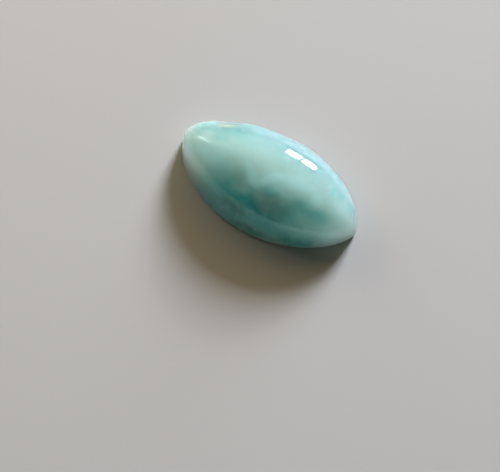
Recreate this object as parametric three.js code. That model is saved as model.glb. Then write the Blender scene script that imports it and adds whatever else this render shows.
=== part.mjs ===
// Larimar cabochon: one cut and polished stone. It has a blunt marquise outline, a flat ground base,
// a girdle band that leans inwards and a domed top whose ridge runs out into both tips.
// Millimetres, +Z up. The origin is the centre of the base, and +X points to one tip.

import * as THREE from 'three';

// Overall size
const length = 25.0; // tip to tip
const width = 14.4; // across the middle
const height = 6.0; // base to the top of the dome

// Girdle, the band between the base and the dome
const baseBevel = 0.25; // small ground bevel round the base
const girdleAtSide = 2.25; // height of its upper edge at the middle of a long side
const girdleAtTip = 1.85; // height of its upper edge at the tips
const insetAtSide = 1.2; // how far it leans in at the middle of a long side
const insetAtTip = 0.2; // how far it leans in at the tips
const girdleRise = 0.08; // climb of its upper edge towards +X, per millimetre along the sides

// Roundness
const baseFullness = 1.55; // outline exponent at the base: 1 is a sharp lozenge, 2 an ellipse
const topFullness = 2.0; // outline exponent at the top of the dome, where the ridge has faded out
const ridgeFade = 1.42; // how late the ridge fades on the way up
const ridgeBulge = 0.75; // lengthwise profile of the dome: 0 is a parabola, 1 an ellipse
const domeFullness = 2.1; // crosswise profile exponent: 2 is an ellipse

// Fineness of the faceted solid
const sides = 88;
const girdleSteps = 4;
const domeSteps = 16;

const { lerp } = THREE.MathUtils;

// Half the dome's length when this share of its height is reached
function domeHalfLength(share) {
  return (length / 2 - insetAtTip) * Math.sqrt(Math.max(0, (1 - share) * (1 + ridgeBulge * share)));
}

// Half the dome's width at this height, on a curve that meets the girdle's upper edge
function domeHalfWidth(domeHeight) {
  const drop = (z) => Math.max(0, 1 - (z / height) ** domeFullness) ** (1 / domeFullness);
  return ((width / 2 - insetAtSide) * drop(domeHeight)) / drop(girdleAtSide);
}

// Outline exponent at this height
function fullnessAt(z) {
  return lerp(baseFullness, topFullness, (z / height) ** ridgeFade);
}

// The rings of the stone, from the centre of the base out to its edge and up to the top of the dome.
// rise is the share of the girdle's climb that a ring takes.
function stoneRings() {
  const flat = { sideHeight: 0, tipHeight: 0, fullness: baseFullness, rise: 0 };
  const rings = [
    { ...flat, halfLength: 0, halfWidth: 0 },
    { ...flat, halfLength: length / 2 - baseBevel, halfWidth: width / 2 - baseBevel },
  ];
  for (let step = 0; step <= girdleSteps; step++) {
    const share = step / girdleSteps;
    const sideHeight = lerp(baseBevel, girdleAtSide, share);
    rings.push({
      sideHeight,
      tipHeight: lerp(baseBevel, girdleAtTip, share),
      halfLength: length / 2 - insetAtTip * share,
      halfWidth: width / 2 - insetAtSide * share,
      fullness: fullnessAt(sideHeight),
      rise: share,
    });
  }
  for (let step = 1; step <= domeSteps; step++) {
    const share = Math.sin(((step / domeSteps) * Math.PI) / 2);
    const sideHeight = lerp(girdleAtSide, height, share);
    const isTop = step === domeSteps;
    rings.push({
      sideHeight,
      tipHeight: lerp(girdleAtTip, height, share),
      halfLength: isTop ? 0 : domeHalfLength(share),
      halfWidth: isTop ? 0 : domeHalfWidth(sideHeight),
      fullness: fullnessAt(sideHeight),
      rise: 1 - share,
    });
  }
  return rings;
}

// A point of a ring. A ring is highest at the long sides and sinks towards the tips.
function ringPoint(ring, turn) {
  const along = Math.sin(turn);
  const across = -Math.cos(turn);
  const x = ring.halfLength * along;
  const y = ring.halfWidth * Math.sign(across) * Math.abs(across) ** (2 / ring.fullness);
  const climb = girdleRise * ring.rise * x * across ** 2;
  const z = lerp(ring.sideHeight, ring.tipHeight, along ** 2) + climb;
  return [x, y, z];
}

// A turned blank with one ring of vertices for each ring of the stone, drawn out to the marquise shape
function stoneGeometry() {
  const rings = stoneRings();
  const profile = rings.map((ring) => new THREE.Vector2(ring.halfLength, ring.sideHeight));
  const geometry = new THREE.LatheGeometry(profile, sides);
  const position = geometry.getAttribute('position');
  for (let i = 0; i < position.count; i++) {
    const turn = ((Math.floor(i / rings.length) % sides) / sides) * Math.PI * 2;
    position.setXYZ(i, ...ringPoint(rings[i % rings.length], turn));
  }
  geometry.computeVertexNormals();
  return geometry;
}

const polishedLarimar = new THREE.MeshStandardMaterial({
  name: 'polished_larimar',
  color: 0x8fc4c4,
  roughness: 0.15,
  metalness: 0,
});

const stone = new THREE.Mesh(stoneGeometry(), polishedLarimar);
stone.name = 'larimar_cabochon';

const part = new THREE.Group();
part.add(stone);

export default part;
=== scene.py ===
import math
import bpy
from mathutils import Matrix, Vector


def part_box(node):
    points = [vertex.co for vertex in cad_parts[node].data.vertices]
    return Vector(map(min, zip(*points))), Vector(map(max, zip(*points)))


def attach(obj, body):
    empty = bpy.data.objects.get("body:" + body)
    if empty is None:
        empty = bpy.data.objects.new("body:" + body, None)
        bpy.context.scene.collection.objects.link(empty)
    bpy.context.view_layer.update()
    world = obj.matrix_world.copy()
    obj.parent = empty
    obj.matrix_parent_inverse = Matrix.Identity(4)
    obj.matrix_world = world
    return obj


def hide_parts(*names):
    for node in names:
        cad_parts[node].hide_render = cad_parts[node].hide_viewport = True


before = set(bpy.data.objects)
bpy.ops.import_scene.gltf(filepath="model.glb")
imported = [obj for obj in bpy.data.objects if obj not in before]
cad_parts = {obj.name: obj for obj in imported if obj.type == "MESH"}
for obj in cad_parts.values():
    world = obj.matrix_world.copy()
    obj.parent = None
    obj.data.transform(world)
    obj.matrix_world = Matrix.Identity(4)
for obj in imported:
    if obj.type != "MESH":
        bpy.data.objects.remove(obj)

# A polished larimar cabochon on a pale floor, lit by a window behind it in a dim warm room

mm = 0.001
upWay = Vector((0, 0, 1))
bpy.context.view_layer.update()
low, high = [Vector(corner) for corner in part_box("larimar_cabochon")]
print("frame loaded, stone is", [round(side / mm, 2) for side in high - low], "mm")


def linearColour(hexText):
    channels = [int(hexText[i:i + 2], 16) / 255 for i in (1, 3, 5)]
    linear = [c / 12.92 if c <= 0.04045 else ((c + 0.055) / 1.055) ** 2.4 for c in channels]
    return (*linear, 1.0)


def addNode(tree, kind, settings=None, inputs=None):
    node = tree.nodes.new(kind)
    for name, value in (settings or {}).items():
        setattr(node, name, value)
    for socket, value in (inputs or {}).items():
        if isinstance(value, bpy.types.NodeSocket):
            tree.links.new(value, node.inputs[socket])
        else:
            node.inputs[socket].default_value = value
    return node


def mix(a, b, share):
    return a + (b - a) * share


# Camera first, because the lights are placed as seen from it
cameraSettings = {
    "elevation": math.radians(62),   # looking down at the stone
    "azimuth": math.radians(33.75),  # the stone's long axis runs down to the right
    "distance": 300 * mm,
    "frameWidth": 60.63 * mm,        # width of the floor across the picture, at the stone
    "stoneRight": 2.30 * mm,         # the stone lies right of the picture's centre
    "stoneBack": 6.95 * mm,          # and behind it
    "clipStart": 10 * mm,
}

rightWay = Vector((math.cos(cameraSettings["azimuth"]), math.sin(cameraSettings["azimuth"]), 0))
backWay = Vector((-rightWay.y, rightWay.x, 0))


def addCamera(s):
    target = upWay * low.z - rightWay * s["stoneRight"] - backWay * s["stoneBack"]
    towards = -backWay * math.cos(s["elevation"]) + upWay * math.sin(s["elevation"])
    bpy.ops.object.camera_add(location=target + towards * s["distance"])
    camera = bpy.context.object
    camera.name = "photoCamera"
    camera.rotation_euler = towards.to_track_quat("Z", "Y").to_euler()
    camera.data.sensor_fit = "HORIZONTAL"
    camera.data.lens = camera.data.sensor_width * s["distance"] / s["frameWidth"]
    camera.data.clip_start = s["clipStart"]
    bpy.context.scene.camera = camera


addCamera(cameraSettings)
print("camera placed")

# Stone: an elliptical cabochon is extruded ring by ring, then its tips are drawn out
stoneShape = {
    "bevel": 0.25 * mm,         # ground edge round the base
    "girdleSide": 2.25 * mm,    # upper edge of the girdle at the middle of a long side
    "girdleTip": 1.85 * mm,     # and at the tips
    "insetSide": 1.2 * mm,      # how far the girdle leans in at the middle of a long side
    "insetTip": 0.2 * mm,       # and at the tips
    "girdleRise": 0.08,         # its climb towards +X along the sides
    "baseFullness": 1.55,       # outline: 1 is a lozenge, 2 an ellipse
    "topFullness": 2.0,
    "ridgeFade": 1.42,          # how late the ridge fades on the way up
    "ridgeBulge": 0.75,         # lengthwise profile: 0 is a parabola, 1 an ellipse
    "domeFullness": 2.1,        # crosswise profile: 2 is an ellipse
    "sides": 80,
    "girdleRings": (0, 0.12, 0.45, 0.8),  # shares of the girdle, none at its upper edge: a soft crease
    "domeSteps": 15,
    "topSize": 0.001 * mm,      # a ring smaller than this is the point at the top
    "smoothLevels": 2,
    "smoothAngle": math.radians(35),
    "waveSize": 4.5 * mm,       # hand polish leaves the dome very slightly wavy
    "waveDepth": 0.05 * mm,
    "waveDetail": 1,
    "waveStart": 0.3,           # share of the girdle that stays free of waves
    "pitAt": (-8.0, 3.3, 3.3),  # shallow pit in the rim, where softer ochre matrix has worn away
    "pitReach": (2.6, 2.0, 2.0),
    "pitDepth": 0.28 * mm,
}

size = high - low
halfLength, halfWidth, height = size.x / 2, size.y / 2, size.z


def domeDrop(z, s):
    return max(0.0, 1 - (z / height) ** s["domeFullness"]) ** (1 / s["domeFullness"])


# Height at the tips, half length, half width and share of the climb for the ring at height z
def ringAt(z, s):
    if z <= s["bevel"]:
        return z, halfLength - s["bevel"] + z, halfWidth - s["bevel"] + z, 0.0
    if z <= s["girdleSide"]:
        share = (z - s["bevel"]) / (s["girdleSide"] - s["bevel"])
        return (mix(s["bevel"], s["girdleTip"], share), halfLength - s["insetTip"] * share,
                halfWidth - s["insetSide"] * share, share)
    share = min(1.0, (z - s["girdleSide"]) / (height - s["girdleSide"]))
    return (mix(s["girdleTip"], height, share),
            (halfLength - s["insetTip"]) * math.sqrt((1 - share) * (1 + s["ridgeBulge"] * share)),
            (halfWidth - s["insetSide"]) * domeDrop(z, s) / domeDrop(s["girdleSide"], s), 1 - share)


def ringHeights(s):
    heights = [mix(s["bevel"], s["girdleSide"], share) for share in s["girdleRings"]]
    for i in range(1, s["domeSteps"]):
        heights.append(mix(s["girdleSide"], height, math.sin(i / s["domeSteps"] * math.pi / 2)))
    return heights


def modelStone(s):
    bpy.ops.object.select_all(action="DESELECT")
    bpy.ops.mesh.primitive_circle_add(vertices=s["sides"], radius=1.0, fill_type="NGON", location=(0, 0, 0))
    stone = bpy.context.object
    stone.name = "larimar_stone"
    bpy.ops.object.mode_set(mode="EDIT")
    bpy.ops.mesh.select_all(action="SELECT")
    here = 0.0
    _, ringLength, ringWidth, _ = ringAt(here, s)
    bpy.ops.transform.resize(value=(ringLength, ringWidth, 1))
    for z in ringHeights(s):
        _, nextLength, nextWidth, _ = ringAt(z, s)
        bpy.ops.mesh.extrude_region_move(TRANSFORM_OT_translate={"value": (0, 0, z - here)})
        bpy.ops.transform.resize(value=(nextLength / ringLength, nextWidth / ringWidth, 1),
                                 center_override=(0, 0, z))
        here, ringLength, ringWidth = z, nextLength, nextWidth
    bpy.ops.mesh.extrude_region_move(TRANSFORM_OT_translate={"value": (0, 0, height - here)})
    bpy.ops.mesh.merge(type="CENTER")
    bpy.ops.mesh.select_all(action="SELECT")
    bpy.ops.mesh.normals_make_consistent(inside=False)
    bpy.ops.object.mode_set(mode="OBJECT")
    return stone


def drawOutTips(stone, s):
    for vertex in stone.data.vertices:
        x, y, z = vertex.co
        tipHeight, ringLength, ringWidth, rise = ringAt(z, s)
        if ringLength < s["topSize"]:
            continue
        along = max(-1.0, min(1.0, x / ringLength))
        across = max(-1.0, min(1.0, y / ringWidth))
        fullness = mix(s["baseFullness"], s["topFullness"], (z / height) ** s["ridgeFade"])
        drawn = math.copysign(abs(across) ** (2 / fullness), across)
        climb = s["girdleRise"] * rise * x * across ** 2
        vertex.co = (x, ringWidth * drawn, mix(z, tipHeight, along ** 2) + climb)


def wearPit(stone, s):
    inward = [-vertex.normal for vertex in stone.data.vertices]
    for vertex, way in zip(stone.data.vertices, inward):
        offset = [(c / mm - at) / reach for c, at, reach in zip(vertex.co, s["pitAt"], s["pitReach"])]
        near = max(0.0, 1 - sum(o * o for o in offset))
        vertex.co += way * s["pitDepth"] * near ** 2


def finishStone(stone, s):
    waves = bpy.data.textures.new("polishWaves", type="CLOUDS")
    waves.noise_scale = s["waveSize"]
    waves.noise_depth = s["waveDetail"]
    dome = stone.vertex_groups.new(name="aboveBase")
    for vertex in stone.data.vertices:
        wavy = vertex.co.z / s["girdleTip"] - s["waveStart"]
        dome.add([vertex.index], min(1.0, max(0.0, wavy)), "REPLACE")
    bpy.context.view_layer.objects.active = stone
    bpy.ops.object.modifier_add(type="SUBSURF")
    smooth = stone.modifiers[-1]
    smooth.levels = smooth.render_levels = s["smoothLevels"]
    bpy.ops.object.modifier_apply(modifier=smooth.name)
    bpy.ops.object.modifier_add(type="DISPLACE")
    displace = stone.modifiers[-1]
    displace.texture = waves
    displace.texture_coords = "LOCAL"
    displace.strength = s["waveDepth"]
    displace.vertex_group = "aboveBase"  # by name: applying the first modifier has freed the group itself
    bpy.ops.object.modifier_apply(modifier=displace.name)
    wearPit(stone, s)
    bpy.ops.object.shade_smooth_by_angle(angle=s["smoothAngle"])


stone = modelStone(stoneShape)
drawOutTips(stone, stoneShape)
finishStone(stone, stoneShape)
print("stone modelled,", len(stone.data.polygons), "faces")

# Larimar: polished blue pectolite. The eye gets a wet gloss over cloudy aqua, with white veils,
# deeper sea green patches where the stone is clearer, and light that soaks in and glows at thin edges.
# Places and sizes of clouds and markings are millimetres in the stone's own frame.
# Some of these colours are painted light and shade, and each such place says so.
larimar = {
    "aqua": "#b8dad4",                  # ground tone
    "sky": "#84a7ac",                   # far side: bluer, and darkened where the window light falls strongest, as painted shade
    "sea": "#479e9b",                   # near side: greener and darker, partly its own tone and partly painted shade
    "deep": "#58b0b2",                  # clearer patches
    "grey": "#487e7e",                  # duller patches
    "green": "#2a7a60",                 # painted shade, dark green, along the near foot and band
    "pale": "#c4f3f4",                  # veils, mottling and the clouds on the back, and also some painted light and a painted highlight
    "ochre": "#b6b996",                 # matrix in the worn pit
    "cloudSize": 2.0,                   # width of the soft clouds
    "cloudGrain": {"Detail": 3.0, "Roughness": 0.5},
    "warp": 0.6,                        # how far the clouds pull the markings' edges about
    "farSide": (-1.0, 4.5),             # across the stone, from aqua to the bluer far side, which is darkened there as painted shade
    "fibreSize": 0.9,                   # fine mottling inside the clouds
    "fibreGrain": {"Detail": 4.0, "Roughness": 0.6},
    "fibreRange": (0.48, 0.72),
    "mottle": 0.14,
    "backCloudSize": 4.0,               # white clouds on the back
    "backCloudGrain": {"Detail": 4.0, "Roughness": 0.55},
    "backCloudRange": (0.45, 0.62),
    "backSide": (4.8, 6.6),             # across the stone, where these clouds come in
    "backClouds": 0.5,
    "gloss": (0.04, 0.08),              # roughness of the polish, which follows the clouds
    "glossRange": (0.35, 0.65),
    "groundRoughness": 0.45,            # the base is ground, not polished
    "groundHeight": (0.05, 0.3),        # above the base, from ground to polished
    "ior": 1.6,                         # pectolite
    "glow": 1.0,                        # share of the light below the polish that soaks in
    "glowDepth": 13 * mm,               # how far it spreads in the stone
    "glowReach": (0.8, 1.0, 1.0),       # red goes a little less far
    "glowForward": 0.5,                 # and it scatters mostly onwards
    "markingEdge": 0.85,                # share of a marking's reach over which it fades
    "markings": {                       # colour: centre, reach, turn in degrees and strength, undermost first
        # the near side, away from the window: its greener tone, darkened further as painted shade
        "sea": [
            ((-2.0, -6.8, 1.2), (9.0, 4.0, 4.5), 0, 1.0),
            ((7.5, -5.0, 1.2), (6.5, 3.6, 4.0), 10, 0.9),
            ((-7.2, -5.4, 1.4), (4.0, 2.4, 3.0), 0, 0.25),
        ],
        "deep": [
            ((-4.5, -4.0, 4.1), (3.6, 2.3, 2.8), -15, 0.34),
            ((-2.0, -4.4, 4.3), (3.0, 1.9, 2.2), -15, 0.32),
            ((-4.2, -4.9, 3.2), (3.6, 1.6, 2.2), -12, 0.2),
            ((-2.6, -5.2, 3.4), (3.0, 1.6, 2.0), -12, 0.32),
            ((0.4, -5.1, 3.7), (2.8, 1.6, 2.0), -12, 1.0),
            ((4.2, -5.4, 2.6), (2.6, 1.6, 2.0), 8, 0.5),
            ((5.2, -4.2, 3.9), (2.8, 1.5, 2.0), 12, 0.56),
            ((0.8, -6.2, 2.4), (5.0, 2.2, 2.6), 0, 0.6),
            ((2.0, -3.1, 5.3), (2.2, 1.1, 1.6), 15, 0.5),
            ((2.6, -5.7, 2.8), (2.4, 1.8, 2.2), 0, 0.4),
            ((5.6, -2.8, 4.9), (2.2, 1.3, 1.8), 15, 0.35),
            ((6.5, -2.4, 4.8), (2.0, 1.5, 1.8), 0, 0.2),
            ((8.3, -2.5, 4.1), (2.4, 1.4, 1.8), 20, 0.48),
            ((8.4, 1.3, 4.5), (0.7, 1.4, 1.4), 0, 0.3),
            ((9.4, 1.8, 3.9), (0.8, 1.4, 1.4), 0, 0.3),
            ((11.2, 1.0, 3.2), (1.6, 1.6, 2.0), 0, 0.2),
            ((-6.9, 0.1, 5.1), (1.8, 0.9, 1.2), 0, 0.25),
            ((-4.7, 1.2, 5.4), (3.2, 1.8, 1.8), 0, 0.16),
            ((0.0, -3.9, 4.8), (1.4, 0.9, 1.4), -30, 0.4),
            ((-5.4, -5.2, 2.1), (2.4, 1.2, 1.4), -25, 0.35),
            ((-2.5, -5.4, 2.8), (4.4, 1.1, 1.4), -13, 0.5),
        ],
        "grey": [
            ((-2.1, -3.2, 5.0), (1.7, 1.2, 1.6), -30, 0.25),
            ((3.0, -4.6, 4.2), (3.8, 2.4, 2.8), 5, 0.55),
            ((-7.0, 2.0, 4.4), (5.2, 2.8, 2.4), 10, 0.55),
            ((11.3, 1.6, 2.8), (1.8, 2.0, 2.4), 0, 0.35),
            ((-10.5, 0.4, 3.7), (2.2, 1.8, 1.8), 20, 0.4),
        ],
        # painted shade: dark green along the near foot and band, where the stone meets its shadow
        "green": [
            ((1.0, -6.9, 0.5), (5.5, 1.5, 1.5), 2, 0.75),
            ((6.5, -5.7, 0.4), (4.0, 1.4, 1.4), 25, 0.5),
            ((-1.2, -5.8, 2.5), (3.4, 1.2, 1.5), -8, 0.5),
        ],
        "pale": [                       # the white veils, with painted light on shaded slopes and a painted highlight on the left ridge among them
            ((-0.8, -2.6, 5.5), (2.4, 1.0, 1.2), -39, 0.6),
            ((1.35, -1.75, 5.8), (2.4, 0.8, 1.2), 46, 0.95),
            # painted light: a broad pale veil that lifts the shaded slope below the crest
            ((1.5, -2.0, 5.7), (4.0, 2.0, 1.6), 20, 0.42),
            ((4.6, -0.4, 5.6), (3.4, 1.3, 1.6), 10, 0.55),
            ((7.3, -0.9, 5.0), (1.3, 0.9, 1.4), 0, 0.45),
            ((10.7, 0.0, 3.4), (2.4, 2.0, 2.4), 0, 0.4),
            ((10.4, -2.6, 1.2), (3.2, 2.6, 2.6), 0, 0.5),
            ((7.8, -4.5, 2.3), (2.4, 1.2, 1.4), 30, 0.25),
            ((-10.2, -3.0, 2.4), (2.8, 2.2, 2.6), 0, 0.5),
            # painted highlight: a thin pale line along the left ridge, where the side window glints
            ((-8.6, -0.9, 4.4), (3.4, 0.5, 1.8), 0, 0.4),
            # painted light: lifts the shaded left flank
            ((-7.0, -2.4, 4.5), (3.6, 1.8, 2.2), 0, 0.6),
            ((-5.6, -1.2, 5.3), (2.4, 1.2, 1.6), 0, 0.3),
        ],
    },
    "ochreSpots": [                     # the clouds don't pull at these, so they stay in the pit
        ((-7.5, 2.1, 4.4), (2.0, 0.8, 0.8), 22, 0.5),
    ],
}


# Soft balls, added up, that are strongest at their centres
def markingMask(tree, place, spots, edge):
    mask = None
    for centre, reach, turn, strength in spots:
        local = addNode(tree, "ShaderNodeMapping", {"vector_type": "TEXTURE"},
                        {"Vector": place, "Location": centre, "Rotation": (0, 0, math.radians(turn)),
                         "Scale": reach}).outputs[0]
        ball = addNode(tree, "ShaderNodeTexGradient", {"gradient_type": "SPHERICAL"},
                       {"Vector": local}).outputs["Fac"]
        soft = addNode(tree, "ShaderNodeMapRange", {"interpolation_type": "SMOOTHSTEP"},
                       {"Value": ball, "From Max": edge, "To Max": strength}).outputs[0]
        if mask is None:
            mask = soft
        else:
            mask = addNode(tree, "ShaderNodeMath", {"operation": "ADD", "use_clamp": True},
                           {0: mask, 1: soft}).outputs[0]
    return mask


def larimarMaterial(m):
    material = bpy.data.materials.new("polishedLarimar")
    material.use_nodes = True
    tree = material.node_tree
    tree.nodes.clear()
    coords = addNode(tree, "ShaderNodeTexCoord")
    place = addNode(tree, "ShaderNodeVectorMath", {"operation": "SCALE"},
                    {0: coords.outputs["Object"], "Scale": 1 / mm}).outputs[0]
    up = addNode(tree, "ShaderNodeSeparateXYZ", {}, {0: place}).outputs["Z"]
    clouds = addNode(tree, "ShaderNodeTexNoise", {},
                     {"Vector": place, "Scale": 1 / m["cloudSize"], **m["cloudGrain"]})
    # noise runs from 0 to 1, so its middle is no shift and its ends pull by the full warp
    centred = addNode(tree, "ShaderNodeVectorMath", {"operation": "SUBTRACT"},
                      {0: clouds.outputs["Color"], 1: (0.5, 0.5, 0.5)}).outputs[0]
    shift = addNode(tree, "ShaderNodeVectorMath", {"operation": "SCALE"},
                    {0: centred, "Scale": 2 * m["warp"]}).outputs[0]
    warped = addNode(tree, "ShaderNodeVectorMath", {"operation": "ADD"}, {0: place, 1: shift}).outputs[0]
    across = addNode(tree, "ShaderNodeSeparateXYZ", {}, {0: warped}).outputs["Y"]

    # colours from the ground tone up, each with its mask
    # the far side is bluer, and it is darkened as painted shade against the window light that falls there
    farSide = addNode(tree, "ShaderNodeMapRange", {"interpolation_type": "SMOOTHSTEP"},
                      {"Value": across, "From Min": m["farSide"][0], "From Max": m["farSide"][1]}).outputs[0]
    layers = [("sky", farSide)]
    for name, spots in m["markings"].items():
        layers.append((name, markingMask(tree, warped, spots, m["markingEdge"])))
    layers.append(("ochre", markingMask(tree, place, m["ochreSpots"], m["markingEdge"])))

    fibres = addNode(tree, "ShaderNodeTexNoise", {},
                     {"Vector": warped, "Scale": 1 / m["fibreSize"], **m["fibreGrain"]})
    mottle = addNode(tree, "ShaderNodeMapRange", {},
                     {"Value": fibres.outputs["Fac"], "From Min": m["fibreRange"][0],
                      "From Max": m["fibreRange"][1], "To Max": m["mottle"]}).outputs[0]
    layers.append(("pale", mottle))

    billows = addNode(tree, "ShaderNodeTexNoise", {},
                      {"Vector": warped, "Scale": 1 / m["backCloudSize"], **m["backCloudGrain"]})
    billowed = addNode(tree, "ShaderNodeMapRange", {"interpolation_type": "SMOOTHSTEP"},
                       {"Value": billows.outputs["Fac"], "From Min": m["backCloudRange"][0],
                        "From Max": m["backCloudRange"][1], "To Max": m["backClouds"]}).outputs[0]
    backSide = addNode(tree, "ShaderNodeMapRange", {"interpolation_type": "SMOOTHSTEP"},
                       {"Value": across, "From Min": m["backSide"][0],
                        "From Max": m["backSide"][1]}).outputs[0]
    behind = addNode(tree, "ShaderNodeMath", {"operation": "MULTIPLY"}, {0: billowed, 1: backSide}).outputs[0]
    layers.append(("pale", behind))

    colour = linearColour(m["aqua"])
    for name, mask in layers:
        colour = addNode(tree, "ShaderNodeMix", {"data_type": "RGBA"},
                         {"Factor": mask, "A": colour, "B": linearColour(m[name])}).outputs["Result"]

    # polished, apart from the ground base
    gloss = addNode(tree, "ShaderNodeMapRange", {},
                    {"Value": clouds.outputs["Fac"], "From Min": m["glossRange"][0],
                     "From Max": m["glossRange"][1], "To Min": m["gloss"][0],
                     "To Max": m["gloss"][1]}).outputs[0]
    ground = addNode(tree, "ShaderNodeMapRange", {},
                     {"Value": up, "From Min": m["groundHeight"][0], "From Max": m["groundHeight"][1],
                      "To Min": m["groundRoughness"], "To Max": 0.0}).outputs[0]
    roughness = addNode(tree, "ShaderNodeMath", {"operation": "MAXIMUM"}, {0: gloss, 1: ground}).outputs[0]
    shader = addNode(tree, "ShaderNodeBsdfPrincipled", {}, {
        "Base Color": colour, "Roughness": roughness, "IOR": m["ior"],
        "Subsurface Weight": m["glow"], "Subsurface Radius": m["glowReach"],
        "Subsurface Scale": m["glowDepth"], "Subsurface Anisotropy": m["glowForward"]})
    addNode(tree, "ShaderNodeOutputMaterial", {}, {"Surface": shader.outputs[0]})
    return material


stone.data.materials.append(larimarMaterial(larimar))
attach(stone, "root")
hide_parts("larimar_cabochon")
print("larimar applied")

# Floor, its size in metres
floorSettings = {"size": 3.0, "colour": "#c9c9c9", "roughness": 0.7}


def addFloor(s):
    bpy.ops.object.select_all(action="DESELECT")
    bpy.ops.mesh.primitive_plane_add(size=s["size"], location=(0, 0, low.z))
    floor = bpy.context.object
    floor.name = "pale_floor"
    material = bpy.data.materials.new("paleFloor")
    material.use_nodes = True
    shader = material.node_tree.nodes["Principled BSDF"]
    shader.inputs["Base Color"].default_value = linearColour(s["colour"])
    shader.inputs["Roughness"].default_value = s["roughness"]
    floor.data.materials.append(material)


addFloor(floorSettings)

# Light: a two-pane window behind the stone and a little to its right, and a dim one on the left that
# glints on the ridge. Azimuths are degrees to the right of straight behind, sizes are millimetres.
windowPanes = {"azimuth": 26, "elevation": 21, "distance": 1000, "width": 110, "height": 228, "gap": 25,
               "watts": 7.7, "colour": "#edf3ff"}
sideWindow = {"azimuth": -53, "elevation": 28, "distance": 600, "width": 40, "height": 180,
              "watts": 0.15, "colour": "#f6f6f0"}
# The curtain and the walls soften and warm the shadow. The polish mirrors the windows only, not these.
softLights = {
    "curtain": {"azimuth": 25, "elevation": 15, "distance": 1000, "width": 320, "height": 300,
                "watts": 5.6, "colour": "#ecf0f2"},
    "nearWall": {"azimuth": 150, "elevation": 2, "distance": 600, "width": 600, "height": 36,
                 "watts": 1.35, "colour": "#def4ec"},
    "leftWall": {"azimuth": -40, "elevation": 18, "distance": 600, "width": 400, "height": 220,
                 "watts": 1.3, "colour": "#f8e2ba"},
    "frontWall": {"azimuth": -95, "elevation": 5, "distance": 600, "width": 400, "height": 80,
                  "watts": 0.6, "colour": "#e6f6f4"},
    "backWall": {"azimuth": 20, "elevation": 32, "distance": 600, "width": 600, "height": 300,
                 "watts": 0.85, "colour": "#ffd796"},
}
room = {"colour": "#9a7f50", "strength": 0.1}


# side is 1 for the left pane of a pair and -1 for the right one
def addPane(name, s, side=0):
    azimuth, elevation = math.radians(s["azimuth"]), math.radians(s["elevation"])
    flatWay = backWay * math.cos(azimuth) + rightWay * math.sin(azimuth)
    way = flatWay * math.cos(elevation) + upWay * math.sin(elevation)
    sideWay = upWay.cross(flatWay).normalized()
    sideStep = side * (s["width"] + s.get("gap", 0)) / 2 * mm
    bpy.ops.object.light_add(type="AREA", location=way * s["distance"] * mm + sideWay * sideStep)
    pane = bpy.context.object
    pane.name = name
    pane.rotation_euler = way.to_track_quat("Z", "Y").to_euler()
    pane.data.shape = "RECTANGLE"
    pane.data.size, pane.data.size_y = s["width"] * mm, s["height"] * mm
    pane.data.energy = s["watts"]
    pane.data.color = linearColour(s["colour"])[:3]
    return pane


def addRoom(s):
    world = bpy.data.worlds.new("dimRoom")
    bpy.context.scene.world = world
    world.use_nodes = True
    background = world.node_tree.nodes["Background"]
    background.inputs["Color"].default_value = linearColour(s["colour"])
    background.inputs["Strength"].default_value = s["strength"]


addPane("rightPane", windowPanes, -1)
addPane("leftPane", windowPanes, 1)
addPane("sideWindow", sideWindow)
for name, settings in softLights.items():
    addPane(name, settings).visible_glossy = False
addRoom(room)
bpy.context.scene.view_settings.view_transform = "Standard"
print("floor and light placed")
